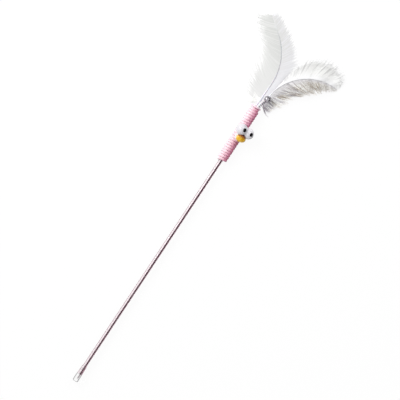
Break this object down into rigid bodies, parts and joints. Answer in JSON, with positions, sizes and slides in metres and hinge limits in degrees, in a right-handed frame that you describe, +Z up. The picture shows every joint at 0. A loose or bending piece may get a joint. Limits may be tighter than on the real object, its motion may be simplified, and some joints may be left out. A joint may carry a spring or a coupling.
{
  "type": "cat teaser wand",
  "caption": "Cat teaser wand: a clear rod with a pink liner, a cord-wound grip, a toy bird face, a jingle bell on a short chain and white feathers.",
  "frame": {"origin": "on the rod's axis, where the straight part of the handle's end cap begins", "axes": "+X along the rod towards the feathers, +Z up from the table that the wand lies on, +Y to the left as seen from above looking along +X"},
  "size_m": [0.5233, 0.1331, 0.0266],
  "materials": {
    "clear_plastic": "clear, polished",
    "clear_tube": "clear, drawn",
    "pink_liner": "pearly pink",
    "dark_foam": "matt foam",
    "pink_cord": "soft twisted cord",
    "pink_plastic": "satin",
    "felt": "felt",
    "eye_white": "polished",
    "pupil_black": "polished",
    "bill_amber": "satin vinyl",
    "bright_wire": "nickel plated",
    "bright_bell": "nickel plated",
    "steel_ball": "rolled",
    "quill_horn": "horn",
    "vane_white": "fine barbs",
    "plume_white": "loose fluffy barbs",
    "plume_grey": "loose fluffy barbs"
  },
  "bodies": {
    "wand": {"end_cap": "clear_plastic", "rod_tube": "clear_tube", "rod_liner": "pink_liner", "grip_sleeve": "dark_foam", "grip_winding": "pink_cord", "tip_plug": "pink_plastic", "face_pad": "felt", "left_eye": "eye_white", "right_eye": "eye_white", "left_pupil": "pupil_black", "right_pupil": "pupil_black", "bill": "bill_amber", "wire_eye": "bright_wire", "flight_quill": "quill_horn", "plume_quill": "quill_horn"},
    "flight_feather": {"flight_shaft": "quill_horn", "flight_left_vane": "vane_white", "flight_right_vane": "vane_white", "flight_down": "vane_white"},
    "plume": {"plume_shaft": "quill_horn", "plume_left_barbs": "plume_white", "plume_right_barbs": "plume_grey", "plume_down": "plume_grey"},
    "link_1": {"chain_link_1": "bright_wire"},
    "link_2": {"chain_link_2": "bright_wire"},
    "link_3": {"chain_link_3": "bright_wire"},
    "bell": {"bell_loop": "bright_wire", "bell_crown": "bright_bell", "bell_petals": "bright_bell"},
    "clapper": {"bell_clapper": "steel_ball"}
  },
  "joints": [
    {"name": "flight_sway", "type": "hinge", "parent": "wand", "child": "flight_feather", "pos_m": [0.4132, 0.00075, -0.0019], "axis": [0, 0, 1], "range_deg": [-12, 12], "stiffness_Nm_per_rad": 0.002, "deforming": ["flight_quill"]},
    {"name": "plume_sway", "type": "hinge", "parent": "wand", "child": "plume", "pos_m": [0.4132, -0.0021, -0.0012], "axis": [0, 0, 1], "range_deg": [-12, 12], "stiffness_Nm_per_rad": 0.002, "deforming": ["plume_quill"]},
    {"name": "link_1_swing", "type": "hinge", "parent": "wand", "child": "link_1", "pos_m": [0.4118, -0.0034, 0.0039], "axis": [0, 0, 1], "range_deg": [-20, 45]},
    {"name": "link_2_lift", "type": "hinge", "parent": "link_1", "child": "link_2", "pos_m": [0.41436, -0.00409, 0.0039], "axis": [-0.2588, -0.9659, 0], "range_deg": [0, 60]},
    {"name": "link_3_swing", "type": "hinge", "parent": "link_2", "child": "link_3", "pos_m": [0.41692, -0.00477, 0.0039], "axis": [0, 0, 1], "range_deg": [-35, 35]},
    {"name": "bell_lift", "type": "hinge", "parent": "link_3", "child": "bell", "pos_m": [0.41948, -0.00546, 0.0039], "axis": [-0.2588, -0.9659, 0], "range_deg": [0, 60]},
    {"name": "clapper_hop", "type": "slide", "parent": "bell", "child": "clapper", "axis": [0, 0, 1], "range_m": [0, 0.0053]}
  ]
}
